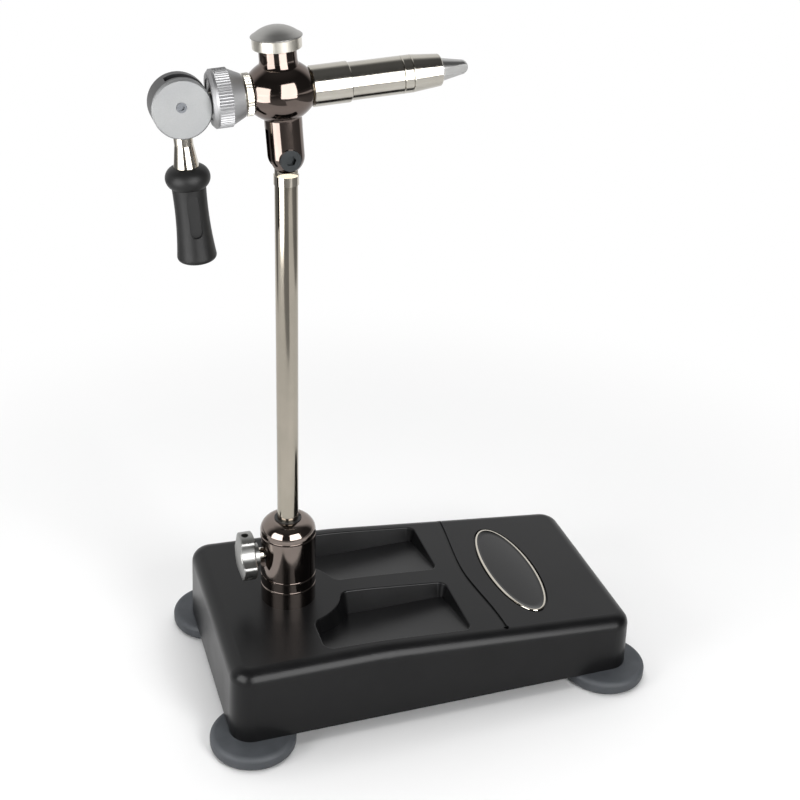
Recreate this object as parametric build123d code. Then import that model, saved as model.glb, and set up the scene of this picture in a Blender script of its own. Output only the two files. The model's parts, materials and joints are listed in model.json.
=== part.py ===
from build123d import *
from math import atan, cos, degrees, radians, sin, sqrt, tan
import os

os.makedirs("parts", exist_ok=True)

# A pedestal fly tying vise. Lengths are in millimetres, angles in degrees.
# X runs along the base towards the jaws, Y away from the front, Z up.
# Every piece is first placed from the stem's axis at table level.

# Allowances shared by all pieces
overrun = 2.0
running_gap = 0.05
seat_gap = 0.02
rubbing_gap = 0.2

# Base casting
base_left = 39.8
base_right = 164.0
base_width_left = 116.5
base_width_right = 106.5
base_corner_radius = 10.5
base_draft = 1.6
base_top_height = 45.0
base_right_height = 35.7
slope_start = 33.5
slope_blend_radius = 250.0
base_edge_radius = 6.5
base_wall = 6.0
base_roof = 6.0
rib_thickness = 4.0
plate_thickness = 1.5
rib_places_shares = (0.42, 0.72)

# Trays in the top, each a ramp that falls away from the front
tray_left = 6.5
tray_right = 80.2
tray_inner = 5.2
tray_side_inset = 11.45
tray_turret_radius = 25.5
tray_corner_radius = 5.0
tray_depth_left = 13.4
tray_depth_right = 7.4
tray_depth_front = 1.0
tray_rim_radius = 0.7
tray_draft = 14.0
tray_wall_tilt_share = 0.5
tray_wall = 4.0

# Curved groove that ends in a dimple, and the oval badge
groove_rear_place = 95.8
groove_middle_place = 91.6
groove_front_place = 96.4
groove_front_reach = 47.5
groove_width = 1.6
groove_depth = 0.8
dimple_diameter = 2.8
dimple_depth = 1.6
badge_place = 117.0
badge_length = 76.5
badge_width = 28.0
badge_recess = 1.2
badge_margin = 1.2
badge_thickness = 1.5
badge_edge_radius = 0.5

# Rubber feet and their screws
foot_diameter = 40.4
foot_height = 7.5
foot_edge_radius = 2.5
foot_end_inset = 10.8
foot_side_inset = 8.4
foot_recess_diameter = 11.0
foot_recess_depth = 3.6
foot_boss_diameter = 15.0
foot_screw_diameter = 4.0
foot_screw_reach = 10.0
foot_screw_head_diameter = 8.0
foot_screw_head_height = 2.4

# Turret that holds the stem
turret_diameter = 26.5
turret_height = 44.5
turret_shoulder_height = 38.0
turret_dome_middle_shares = (0.85, 0.707)
turret_groove_heights = (9.1, 14.6, 36.6)
turret_groove_depth = 0.45
turret_floor = 17.0
turret_spigot_diameter = 18.0
turret_spigot_depth = 4.0
turret_bolt_diameter = 8.0
turret_bolt_reach = 11.0
turret_bolt_head_diameter = 13.0
turret_bolt_head_height = 5.5
turret_bolt_socket = 6.0
turret_bolt_socket_depth = 3.0
turret_washer_diameter = 19.0
turret_washer_thickness = 1.6
turret_boss_diameter = 32.0
turret_boss_thickness = 12.0

# Stem, its liner and its collar
stem_diameter = 10.0
stem_length = 197.25
bush_diameter = 12.8
bush_proud = 0.4
bush_groove_depth = 0.5
bush_slit = 1.0
collar_diameter = 10.8
collar_length = 4.0
tongue_thickness = 5.0

# Thumb clamp in the turret's left side
thumb_height = 26.0
thumb_spot_diameter = 13.0
thumb_spot_depth = 1.2
thumb_screw_diameter = 6.0
thumb_pad_diameter = 5.0
thumb_pad_length = 3.0
thumb_knob_diameter = 23.5
thumb_knob_thickness = 8.0
thumb_knob_dome = 1.4
thumb_knob_standoff = 17.0
thumb_hub_diameter = 11.0
thumb_hub_length = 2.2
thumb_lobes = 3
thumb_scallop_radius = 7.0
thumb_scallop_reach = 14.6
thumb_lobe_rounding = 1.8
thumb_edge_radius = 0.9
thumb_hole_diameter = 3.4
thumb_hole_depth = 4.5

# Head: ball, collar and slotted neck
head_lean = 4.4
ball_diameter = 25.9
ball_rise = 27.35
ball_face_reach = 12.0
ball_rear_reach = 12.4
ball_boss_diameter = 14.6
ball_neck_blend = 2.0
neck_diameter = 15.7
neck_gap = 0.6
neck_slot_top = 12.5
head_collar_diameter = 15.5
head_collar_reach = 17.2
head_collar_blend = 6.0
spindle_diameter = 12.0
spindle_bush_wall = 0.7
spindle_bush_length = 6.4

# Tilt pivot
pivot_screw_diameter = 5.0
pivot_head_diameter = 9.0
pivot_head_height = 3.2
pivot_seat_depth = 2.5
pivot_socket = 4.0
pivot_socket_depth = 2.0
pivot_end_inset = 1.1
pivot_washer_diameter = 9.2
pivot_washer_thickness = 0.5

# Brake on the spindle
tension_cap_diameter = 21.1
tension_cap_band = 4.5
tension_cap_height = 9.0
tension_cap_lip = 0.5
tension_cap_edge_radius = 0.8
tension_screw_diameter = 6.0
tension_screw_grip = 5.0
tension_pad_length = 2.2

# Spindle, barrel and nose, measured along the jaw axis from the ball's middle
barrel_start = 12.3
barrel_step = 28.5
barrel_front = 51.0
barrel_diameter = 16.8
barrel_front_diameter = 15.6
barrel_bevel = 0.4
spigot_diameter = 12.6
spigot_front = 60.0
ring_length = 4.0
ring_bevel = 0.35
nose_front = 68.0
nose_front_diameter = 13.3
nose_cone_angle = 14.0
nose_mouth_diameter = 10.6
chamber_diameter = 10.4
chamber_start = 32.0
drawbar_diameter = 6.0
spindle_rear = 24.2
sleeve_bore_depth = 8.5

# Fluted rings behind the ball
ring_rear_diameter = 17.3
ring_rear_start = 12.7
ring_rear_length = 2.4
ring_flutes = 42
flute_depth = 0.45
adjuster_front_diameter = 17.6
adjuster_diameter = 23.8
adjuster_cone_end = 21.5
adjuster_band_end = 27.2
adjuster_shoulder_end = 28.2
adjuster_rear = 29.4
adjuster_rear_diameter = 21.0
adjuster_flutes = 60
adjuster_pocket_diameter = 16.6
adjuster_pocket_depth = 4.4
adjuster_advance = 0.75
thrust_diameter = 16.48
thrust_sunk = 0.4
thrust_sleeve_diameter = 8.0
thrust_sleeve_length = 7.5

# Clamp cam and lever
cam_radius = 12.2
cam_throw = 1.06
cam_phase = 70.0
cam_contact_gap = 0.08
cam_half_width = 6.5
cam_disc_thickness = 2.2
cam_slot_half_width = 2.6
cam_disc_bevel = 0.6
cam_pin_diameter = 4.2
cam_pin_proud = 0.2
cam_pin_hollow_diameter = 2.2
cam_pin_hollow_depth = 0.9
eye_radius = 4.5
eye_thickness = 5.0
eye_half_height = 2.9
eye_start_gap = 0.4
stalk_top_diameter = 8.0
stalk_waist_diameter = 7.8
stalk_foot_diameter = 10.6
stalk_waist_reach = 17.0
stalk_reach = 26.5
stalk_core_diameter = 6.0
stalk_core_length = 30.0
grip_top = 26.0
grip_end = 67.2
grip_bulge_reach = 30.5
grip_bulge_radius = 9.3
grip_neck_reach = 35.0
grip_neck_radius = 7.1
grip_waist_reach = 47.0
grip_waist_radius = 6.95
grip_foot_radius = 8.6
grip_end_rounding = 2.0
grip_panel_length = 18.8
grip_panel_width = 5.0
grip_panel_depth = 0.75
grip_panel_reach = 46.0

# Drawbar head, pins, spring and jaws
draw_head_start = 45.0
draw_head_front = 54.0
draw_head_diameter = 10.2
draw_slot_start = 48.2
draw_slot_height = 5.1
jaw_pin_place = 50.8
jaw_pin_offset = 2.3
jaw_pin_diameter = 2.0
spring_wire_width = 1.0
spring_wire_height = 1.2
spring_mean_diameter = 8.4
spring_turns = 5
jaw_lug_diameter = 9.2
jaw_lug_front = 54.6
jaw_throat_start = 57.0
jaw_throat_diameter = 6.0
jaw_cone_front = 67.0
jaw_root_diameter = 9.6
jaw_root_place = 68.6
jaw_tip_place = 80.5
jaw_tip_height = 6.2
jaw_tip_width = 3.6
jaw_split = 0.1
jaw_nose_gap = 0.1


# Sizes that follow from the ones above
slope = degrees(atan((base_top_height - base_right_height) / (base_right - slope_start)))
bore_floor_height = base_top_height + turret_floor
stem_top_height = bore_floor_height + stem_length
neck_radius = neck_diameter / 2
pivot_height = stem_top_height + neck_gap + neck_radius
plate_top = foot_height + plate_thickness
tray_outer = base_width_left / 2 - tray_side_inset
adjuster_gap = adjuster_advance + rubbing_gap
thrust_face = adjuster_rear - thrust_sunk
cam_offset = cam_throw * cos(radians(cam_phase))
cam_drop = cam_throw * sin(radians(cam_phase))
cam_pin_reach = thrust_face + cam_contact_gap + cam_radius + cam_offset
draw_travel = cam_throw * (cos(radians(cam_phase)) + sin(radians(cam_phase)))
slot_half_width = tongue_thickness / 2 + running_gap + pivot_washer_thickness

head_place = Pos(0, 0, pivot_height) * Rot(0, -head_lean, 0)
jaw_place = head_place * Pos(0, 0, ball_rise)
cam_place = jaw_place * Pos(-cam_pin_reach, 0, 0)
slope_place = Plane(
    origin=(slope_start, 0, base_top_height),
    x_dir=(cos(radians(slope)), 0, -sin(radians(slope))),
    z_dir=(sin(radians(slope)), 0, cos(radians(slope))),
)


def top_height(place):
    # Height of the base's top at a place along X
    return base_top_height - max(place - slope_start, 0) * tan(radians(slope))


def along_slope(place):
    # Distance on the sloping top from its start to a place along X
    return (place - slope_start) / cos(radians(slope))


def post(low, high, radius, x=0, y=0):
    # Upright round bar
    return Pos(x, y, (low + high) / 2) * Cylinder(radius, high - low)


def bar(start, end, radius):
    # Round bar along X
    return Pos((start + end) / 2, 0, 0) * Rot(0, 90, 0) * Cylinder(radius, end - start)


def cross_bar(front, rear, radius, x=0, z=0):
    # Round bar along Y
    return Pos(x, (front + rear) / 2, z) * Rot(90, 0, 0) * Cylinder(radius, rear - front)


def block(low, high):
    # Box between two corners
    size = [b - a for a, b in zip(low, high)]
    middle = [(a + b) / 2 for a, b in zip(low, high)]
    return Pos(*middle) * Box(*size)


def turned(*points):
    # Solid of revolution about X from (place, radius) points
    return revolve(Polygon(*points, align=None), Axis.X)


def spun(*points):
    # Solid of revolution about Z from (radius, height) points
    return revolve(Plane.XZ * Polygon(*points, align=None), Axis.Z)


def near_edges(shape, height, reach):
    # Edges that lie within a reach of one height
    return [e for e in shape.edges() if abs(e.center().Z - height) < reach]


# Base casting

def base_outline(inset, radius):
    left = inset - base_left
    right = base_right - inset
    front_left = base_width_left / 2 - inset
    front_right = base_width_right / 2 - inset
    corners = ((left, -front_left), (right, -front_right), (right, front_right), (left, front_left))
    outline = Polygon(*corners, align=None)
    return fillet(outline.vertices(), radius)


def under_top(drop):
    # Everything below the base's top surface, lowered by a drop
    left = -base_left - overrun
    right = base_right + overrun
    profile = Polygon(
        (left, 0),
        (right, 0),
        (right, top_height(right) - drop),
        (slope_start, base_top_height - drop),
        (left, base_top_height - drop),
        align=None,
    )
    crest = [v for v in profile.vertices() if abs(v.X - slope_start) < overrun]
    return extrude(Plane.XZ * fillet(crest, slope_blend_radius), base_width_left, both=True)


def base_shell(inset, drop):
    outline = base_outline(inset, base_corner_radius - inset / 2)
    rise = base_top_height - foot_height + overrun
    walls = extrude(Pos(0, 0, foot_height) * outline, rise, dir=(0, 0, 1), taper=base_draft)
    return walls & under_top(drop)


def foot_places():
    # Centres of the four feet by name
    left = foot_end_inset - base_left
    right = base_right - foot_end_inset
    side_left = base_width_left / 2 - foot_side_inset
    side_right = base_width_right / 2 - foot_side_inset
    return {
        "front_left": (left, -side_left),
        "front_right": (right, -side_right),
        "rear_left": (left, side_left),
        "rear_right": (right, side_right),
    }


def tray_outline(rear_place, margin):
    # Plan of a tray, cut back round the turret
    length = tray_right - tray_left + 2 * margin
    width = tray_outer - tray_inner + 2 * margin
    middle = rear_place - (tray_outer - tray_inner) / 2
    outline = Pos((tray_left + tray_right) / 2, middle) * Rectangle(length, width)
    outline -= Circle(tray_turret_radius - margin)
    return fillet(outline.vertices(), tray_corner_radius + margin)


def tray_section(place, rear_place):
    # Upright slice above the floor of a tray, which falls from front to rear and rises to the right
    share = (place - tray_left) / (tray_right - tray_left)
    depth = tray_depth_left + share * (tray_depth_right - tray_depth_left)
    span = tray_outer - tray_inner
    past_wall = overrun * (depth - tray_depth_front) / span
    rear = rear_place + overrun
    front = rear_place - span - overrun
    rim = top_height(place)
    high = base_top_height + 2 * overrun
    slice_points = (
        (rear, rim - depth - past_wall),
        (front, rim - tray_depth_front + past_wall),
        (front, high),
        (rear, high),
    )
    return Plane.YZ.offset(place) * Polygon(*slice_points, align=None)


def tray_space(rear_place):
    # Walls lean outwards and meet the plan of the tray at the top of the base
    low = base_top_height - tray_depth_left - overrun
    lean_in = (base_top_height - low) * tan(radians(tray_draft))
    plan = Pos(0, 0, low) * tray_outline(rear_place, -lean_in)
    walls = extrude(plan, base_top_height + overrun - low, dir=(0, 0, 1), taper=-tray_draft)
    left = tray_section(tray_left - overrun, rear_place)
    right = tray_section(tray_right + overrun, rear_place)
    return walls & loft([left.face(), right.face()], ruled=True)


def tray_rears():
    return (tray_outer, -tray_inner)


def tray_rims(casting):
    # Top edges of the walls inside the trays
    rims = []
    for face in casting.faces():
        middle = face.center()
        inside = tray_left - seat_gap < middle.X < tray_right + seat_gap
        inside = inside and abs(middle.Y) < tray_outer + seat_gap
        if inside and abs(face.normal_at().Z) < tray_wall_tilt_share:
            for edge in face.edges():
                place = edge.center()
                if abs(place.Z - top_height(place.X)) < tray_depth_front / 2 - seat_gap:
                    rims.append(edge)
    return rims


def base_casting():
    casting = base_shell(0, 0)
    inner_left = base_corner_radius - base_left
    inner_right = base_right - base_corner_radius
    rim = []
    for edge in casting.edges():
        middle = edge.center()
        high = edge.bounding_box().min.Z > base_right_height - base_edge_radius
        crossing = inner_left < middle.X < inner_right and abs(middle.Y) < base_corner_radius
        if high and not crossing:
            rim.append(edge)
    casting = fillet(rim, base_edge_radius)

    hollow = base_shell(base_wall, base_roof)
    for rear_place in tray_rears():
        low = base_top_height - tray_depth_left - tray_wall
        keep = Pos(0, 0, low) * tray_outline(rear_place, tray_wall)
        hollow -= extrude(keep, base_top_height - low, dir=(0, 0, 1))
    for x, y in foot_places().values():
        hollow -= post(plate_top, base_top_height, foot_boss_diameter / 2, x, y)
    hollow -= post(base_top_height - turret_boss_thickness, base_top_height, turret_boss_diameter / 2)
    for share in rib_places_shares:
        x = share * (base_left + base_right) - base_left
        rib_low = (x - rib_thickness / 2, -base_width_left / 2, plate_top)
        rib_high = (x + rib_thickness / 2, base_width_left / 2, base_top_height)
        hollow -= block(rib_low, rib_high)
    casting -= hollow

    for rear_place in tray_rears():
        casting -= tray_space(rear_place)
    casting = fillet(tray_rims(casting), tray_rim_radius)

    spigot_low = base_top_height - turret_spigot_depth
    casting -= post(spigot_low, base_top_height + overrun, turret_spigot_diameter / 2 + seat_gap)
    casting -= post(foot_height, base_top_height, turret_bolt_diameter / 2 + seat_gap)
    for x, y in foot_places().values():
        hole = foot_screw_diameter / 2 + seat_gap
        casting -= post(0, foot_recess_depth + foot_screw_reach + overrun, hole, x, y)

    groove = Spline(
        (along_slope(groove_rear_place), base_width_left / 2),
        (along_slope(groove_middle_place), 0),
        (along_slope(groove_front_place), -groove_front_reach),
        tangents=((0, -1), (0, -1)),
    )
    track = trace(groove, groove_width)
    casting -= extrude(slope_place.offset(overrun) * track, -overrun - groove_depth)
    dimple = Pos(along_slope(groove_front_place), -groove_front_reach) * Circle(dimple_diameter / 2)
    casting -= extrude(slope_place.offset(overrun) * dimple, -overrun - dimple_depth)
    recess = badge_outline(0)
    casting -= extrude(slope_place.offset(overrun) * recess, -overrun - badge_recess)
    return casting


def bottom_plate():
    # Sheet that closes the hollow underside, flush with the rim
    outline = base_outline(base_wall + running_gap, base_corner_radius - base_wall / 2)
    plate = extrude(Pos(0, 0, foot_height) * outline, plate_thickness, dir=(0, 0, 1), taper=base_draft)
    for x, y in foot_places().values():
        plate -= post(0, base_top_height, foot_screw_diameter / 2 + seat_gap, x, y)
    return plate


def badge_outline(inset):
    outline = Ellipse(badge_width / 2 - inset, badge_length / 2 - inset)
    return Pos(along_slope(badge_place), 0) * outline


def badge_plate():
    plate = extrude(slope_place.offset(-badge_recess) * badge_outline(badge_margin), badge_thickness)
    upper = plate.faces().sort_by(Axis.Z)[-1]
    return fillet(upper.edges(), badge_edge_radius)


# Feet

def foot(x, y):
    disc = post(0, foot_height, foot_diameter / 2)
    rims = near_edges(disc, 0, overrun) + near_edges(disc, foot_height, overrun)
    disc = fillet(rims, foot_edge_radius)
    disc -= post(-overrun, foot_recess_depth, foot_recess_diameter / 2)
    disc -= post(0, foot_height + overrun, foot_screw_diameter / 2 + seat_gap)
    return Pos(x, y, 0) * disc


def foot_screw(x, y):
    head_low = foot_recess_depth - foot_screw_head_height
    screw = post(head_low, foot_recess_depth, foot_screw_head_diameter / 2)
    screw += post(head_low, foot_recess_depth + foot_screw_reach, foot_screw_diameter / 2)
    return Pos(x, y, 0) * screw


# Turret and its bolt

def turret():
    radius = turret_diameter / 2
    mouth = bush_diameter / 2 + running_gap
    dome_height = turret_height - turret_shoulder_height
    across_share, up_share = turret_dome_middle_shares
    dome_middle = (radius * across_share, turret_shoulder_height + dome_height * up_share)
    outline = Polyline(
        (mouth, turret_height),
        (mouth, turret_floor),
        (0, turret_floor),
        (0, 0),
        (radius, 0),
        (radius, turret_shoulder_height),
    )
    outline += ThreePointArc((radius, turret_shoulder_height), dome_middle, (mouth, turret_height))
    body = revolve(Plane.XZ * make_face(outline), Axis.Z)
    for height in turret_groove_heights:
        body -= spun(
            (radius - turret_groove_depth, height),
            (radius + turret_groove_depth, height - 2 * turret_groove_depth),
            (radius + turret_groove_depth, height + 2 * turret_groove_depth),
        )
    body += post(-turret_spigot_depth, 0, turret_spigot_diameter / 2)
    bolt_hole = turret_bolt_diameter / 2 + seat_gap
    body -= post(-turret_spigot_depth - overrun, turret_bolt_reach + overrun, bolt_hole)
    spot = bar(-radius - overrun, thumb_spot_depth - radius, thumb_spot_diameter / 2)
    screw_hole = bar(-radius, 0, thumb_screw_diameter / 2 + running_gap)
    body -= Pos(0, 0, thumb_height) * (spot + screw_hole)
    return Pos(0, 0, base_top_height) * body


def turret_bolt():
    seat = base_top_height - turret_boss_thickness - turret_washer_thickness
    bolt = post(seat - turret_bolt_head_height, seat, turret_bolt_head_diameter / 2)
    bolt += post(seat, base_top_height + turret_bolt_reach, turret_bolt_diameter / 2)
    socket = RegularPolygon(turret_bolt_socket / 2, 6, major_radius=False)
    base = seat - turret_bolt_head_height
    bolt -= extrude(Pos(0, 0, base) * socket, turret_bolt_socket_depth, dir=(0, 0, 1))
    return bolt


def turret_washer():
    top = base_top_height - turret_boss_thickness
    washer = post(top - turret_washer_thickness, top, turret_washer_diameter / 2)
    return washer - post(0, base_top_height, turret_bolt_diameter / 2 + seat_gap)


# Stem, liner and collar

def stem_bush():
    top = base_top_height + turret_height + bush_proud
    liner = post(bore_floor_height, top, bush_diameter / 2)
    liner -= post(0, top + overrun, stem_diameter / 2 + running_gap)
    middle = base_top_height + thumb_height
    half = thumb_pad_diameter / 2 + rubbing_gap
    groove = post(middle - half, middle + half, bush_diameter / 2 + overrun)
    groove -= post(0, top, bush_diameter / 2 - bush_groove_depth)
    liner -= groove
    slit = block((0, -bush_slit / 2, 0), (bush_diameter, bush_slit / 2, top + overrun))
    return liner - slit


def stem():
    radius = stem_diameter / 2
    post_solid = post(bore_floor_height, stem_top_height, radius)
    tongue = post(stem_top_height, pivot_height + radius, radius)
    flat = block(
        (-stem_diameter, -tongue_thickness / 2, 0),
        (stem_diameter, tongue_thickness / 2, pivot_height),
    )
    flat += cross_bar(-tongue_thickness / 2, tongue_thickness / 2, radius, 0, pivot_height)
    body = post_solid + (tongue & flat)
    return body - cross_bar(-radius, radius, pivot_screw_diameter / 2 + running_gap, 0, pivot_height)


def stem_collar():
    ring = post(stem_top_height - collar_length, stem_top_height, collar_diameter / 2)
    ring -= post(0, stem_top_height + overrun, stem_diameter / 2 + seat_gap)
    return ring


# Thumb clamp, drawn along X at the height of its screw

def pad_tip():
    # Distance from the stem's axis to the pad's tip
    return bush_diameter / 2 - bush_groove_depth + running_gap


def thumb_place():
    return Pos(0, 0, base_top_height + thumb_height)


def thumb_pad():
    return thumb_place() * bar(-pad_tip() - thumb_pad_length, -pad_tip(), thumb_pad_diameter / 2)


def thumb_screw():
    start = -thumb_knob_standoff - thumb_knob_thickness / 2
    end = -pad_tip() - thumb_pad_length
    return thumb_place() * bar(start, end, thumb_screw_diameter / 2)


def thumb_knob():
    outline = Circle(thumb_knob_diameter / 2)
    hollows = PolarLocations(thumb_scallop_reach, thumb_lobes, start_angle=180 / thumb_lobes)
    outline -= hollows * Circle(thumb_scallop_radius)
    outline = fillet(outline.vertices(), thumb_lobe_rounding)
    knob = extrude(outline, thumb_knob_thickness, dir=(0, 0, 1))
    dome_radius = ((thumb_knob_diameter / 2) ** 2 + thumb_knob_dome ** 2) / (2 * thumb_knob_dome)
    knob &= Pos(0, 0, thumb_knob_thickness - dome_radius) * Sphere(dome_radius)
    rims = near_edges(knob, 0, overrun) + near_edges(knob, thumb_knob_thickness, overrun)
    knob = fillet(rims, thumb_edge_radius)
    for turn in range(thumb_lobes):
        lobe = turn * 360 / thumb_lobes
        hole = bar(
            thumb_knob_diameter / 2 - thumb_hole_depth,
            thumb_knob_diameter / 2 + overrun,
            thumb_hole_diameter / 2,
        )
        knob -= Rot(0, 0, lobe) * Pos(0, 0, thumb_knob_thickness / 2) * hole
    knob += post(-thumb_hub_length, 0, thumb_hub_diameter / 2)
    screw_end = thumb_knob_thickness / 2
    knob -= post(-thumb_hub_length - overrun, screw_end, thumb_screw_diameter / 2 + seat_gap)
    facing = Pos(-thumb_knob_standoff, 0, 0) * Rot(0, -90, 0)
    return thumb_place() * facing * knob


# Head ball and tilt pivot, drawn from the pivot

def head_ball():
    boss = ball_boss_diameter / 2
    boss_root = sqrt((ball_diameter / 2) ** 2 - boss ** 2)
    outline = Polyline(
        (boss_root, boss),
        (ball_face_reach, boss),
        (ball_face_reach, 0),
        (-ball_rear_reach, 0),
        (-ball_rear_reach, boss),
        (-boss_root, boss),
    )
    outline += ThreePointArc((-boss_root, boss), (0, ball_diameter / 2), (boss_root, boss))
    ball = Pos(0, 0, ball_rise) * revolve(make_face(outline), Axis.X)
    neck = post(0, ball_rise, neck_radius) + Sphere(neck_radius)
    collar = post(ball_rise, ball_rise + head_collar_reach, head_collar_diameter / 2)
    body = ball + neck + collar
    neck_joint = ball_rise - sqrt((ball_diameter / 2) ** 2 - neck_radius ** 2)
    body = fillet(near_edges(body, neck_joint, seat_gap), ball_neck_blend)
    collar_joint = ball_rise + sqrt((ball_diameter / 2) ** 2 - (head_collar_diameter / 2) ** 2)
    body = fillet(near_edges(body, collar_joint, seat_gap), head_collar_blend)

    bore = spindle_diameter / 2 + spindle_bush_wall + seat_gap
    body -= Pos(0, 0, ball_rise) * bar(-ball_diameter, ball_diameter, bore)
    brake_hole = tension_screw_diameter / 2 + running_gap
    body -= post(ball_rise, ball_rise + ball_diameter, brake_hole)
    body -= block(
        (-neck_diameter, -slot_half_width, -neck_diameter),
        (neck_diameter, slot_half_width, neck_slot_top),
    )
    body -= cross_bar(-neck_diameter, neck_diameter, pivot_screw_diameter / 2 + seat_gap)
    seat = pivot_seat_depth - neck_radius
    body -= cross_bar(-neck_diameter, seat, pivot_head_diameter / 2 + seat_gap)
    return head_place * body


def pivot_screw():
    seat = pivot_seat_depth - neck_radius
    screw = cross_bar(seat - pivot_head_height, seat, pivot_head_diameter / 2)
    screw += cross_bar(seat, neck_radius - pivot_end_inset, pivot_screw_diameter / 2)
    socket = RegularPolygon(pivot_socket / 2, 6, major_radius=False)
    face = Plane.XZ.offset(pivot_head_height - seat)
    screw -= extrude(face * socket, pivot_socket_depth, dir=(0, 1, 0))
    return head_place * screw


def pivot_washers():
    inner = tongue_thickness / 2 + running_gap
    washers = []
    for side in (-1, 1):
        span = sorted((side * inner, side * slot_half_width))
        washer = cross_bar(*span, pivot_washer_diameter / 2)
        washer -= cross_bar(-neck_radius, neck_radius, pivot_screw_diameter / 2 + seat_gap)
        washers.append(head_place * washer)
    return Compound(children=[w.solid() for w in washers])


def spindle_bush(side):
    outer = spindle_diameter / 2 + spindle_bush_wall
    inner = spindle_diameter / 2 + running_gap
    face = ball_face_reach if side > 0 else ball_rear_reach
    span = sorted((side * face, side * (face - spindle_bush_length)))
    bush = bar(*span, outer) - bar(-ball_diameter, ball_diameter, inner)
    return jaw_place * bush


# Brake knob, screw and pad, drawn up from the jaw axis

def pad_top():
    return spindle_diameter / 2 + running_gap + tension_pad_length


def tension_pad():
    pad = post(0, pad_top(), tension_screw_diameter / 2)
    return jaw_place * (pad - bar(-neck_radius, neck_radius, spindle_diameter / 2 + running_gap))


def tension_screw():
    top = head_collar_reach + rubbing_gap + tension_screw_grip
    return jaw_place * post(pad_top(), top, tension_screw_diameter / 2)


def tension_knob():
    low = head_collar_reach + rubbing_gap
    radius = tension_cap_diameter / 2
    dome = tension_cap_height - tension_cap_band
    sphere_radius = (radius ** 2 + dome ** 2) / (2 * dome)
    band = post(low, low + tension_cap_band, radius - tension_cap_lip)
    cap = post(low + tension_cap_band, low + tension_cap_height, radius)
    cap &= Pos(0, 0, low + tension_cap_height - sphere_radius) * Sphere(sphere_radius)
    knob = band + cap
    knob = chamfer(near_edges(knob, low, seat_gap), tension_cap_edge_radius)
    knob -= post(0, low + tension_screw_grip, tension_screw_diameter / 2 + seat_gap)
    return jaw_place * knob


# Spindle, barrel ring, nose and rings, drawn along the jaw axis

def spindle():
    shaft = spindle_diameter / 2
    body = turned(
        (-spindle_rear, 0),
        (-spindle_rear, shaft),
        (barrel_start, shaft),
        (barrel_start, barrel_diameter / 2 - barrel_bevel),
        (barrel_start + barrel_bevel, barrel_diameter / 2),
        (barrel_step - barrel_bevel, barrel_diameter / 2),
        (barrel_step, barrel_diameter / 2 - barrel_bevel),
        (barrel_step, barrel_front_diameter / 2),
        (barrel_front - barrel_bevel, barrel_front_diameter / 2),
        (barrel_front, barrel_front_diameter / 2 - barrel_bevel),
        (barrel_front, spigot_diameter / 2),
        (spigot_front, spigot_diameter / 2),
        (spigot_front, 0),
    )
    body -= bar(-spindle_rear - overrun, spigot_front, drawbar_diameter / 2 + running_gap)
    body -= bar(chamber_start, spigot_front + overrun, chamber_diameter / 2)
    sleeve_bore = thrust_sleeve_diameter / 2 + running_gap
    body -= bar(-spindle_rear - overrun, sleeve_bore_depth - spindle_rear, sleeve_bore)
    return jaw_place * body


def barrel_ring():
    outer = barrel_front_diameter / 2
    inner = spigot_diameter / 2 + seat_gap
    end = barrel_front + ring_length
    ring = turned(
        (barrel_front, inner),
        (barrel_front, outer - ring_bevel),
        (barrel_front + ring_bevel, outer),
        (end - ring_bevel, outer),
        (end, outer - ring_bevel),
        (end, inner),
    )
    return jaw_place * ring


def nose_cone():
    start = barrel_front + ring_length
    outer = barrel_front_diameter / 2
    thread = spigot_diameter / 2 + seat_gap
    mouth = nose_mouth_diameter / 2
    cone_start = spigot_front + rubbing_gap
    throat = mouth - (nose_front - cone_start) * tan(radians(nose_cone_angle))
    nose = turned(
        (start, thread),
        (start, outer - ring_bevel),
        (start + ring_bevel, outer),
        (nose_front - barrel_bevel, nose_front_diameter / 2),
        (nose_front, nose_front_diameter / 2 - barrel_bevel),
        (nose_front, mouth),
        (cone_start, throat),
        (cone_start, thread),
    )
    return jaw_place * nose


def fluted_bar(start, end, radius, flutes):
    # Bar along X with V flutes round it
    side = flute_depth * sqrt(2)
    notch = Rot(0, 0, 45) * Rectangle(side, side)
    outline = Circle(radius) - PolarLocations(radius, flutes) * notch
    return Pos(start, 0, 0) * Rot(0, 90, 0) * extrude(outline, end - start, dir=(0, 0, 1))


def retaining_ring():
    start = -ring_rear_start - ring_rear_length
    ring = fluted_bar(start, -ring_rear_start, ring_rear_diameter / 2, ring_flutes)
    ring -= bar(start - overrun, 0, spindle_diameter / 2 + seat_gap)
    return jaw_place * ring


def adjuster_nut():
    front = -ring_rear_start - ring_rear_length - adjuster_gap
    outer = adjuster_diameter / 2
    body = turned(
        (front, 0),
        (front, adjuster_front_diameter / 2),
        (-adjuster_cone_end, outer - flute_depth),
        (-adjuster_band_end, outer - flute_depth),
        (-adjuster_band_end, outer),
        (-adjuster_shoulder_end, outer),
        (-adjuster_rear, adjuster_rear_diameter / 2),
        (-adjuster_rear, 0),
    )
    body += fluted_bar(-adjuster_band_end, -adjuster_cone_end, outer, adjuster_flutes)
    body -= bar(-adjuster_rear, 0, spindle_diameter / 2 + running_gap)
    pocket_floor = adjuster_pocket_depth - adjuster_rear
    body -= bar(-adjuster_rear - overrun, pocket_floor, adjuster_pocket_diameter / 2)
    return jaw_place * body


def thrust_sleeve():
    flange_front = adjuster_pocket_depth - adjuster_rear - rubbing_gap
    sleeve = bar(-thrust_face, flange_front, thrust_diameter / 2)
    sleeve += bar(flange_front, flange_front + thrust_sleeve_length, thrust_sleeve_diameter / 2)
    return jaw_place * (sleeve - bar(-adjuster_diameter * 2, 0, drawbar_diameter / 2 + running_gap))


# Drawbar, pins and spring

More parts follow.
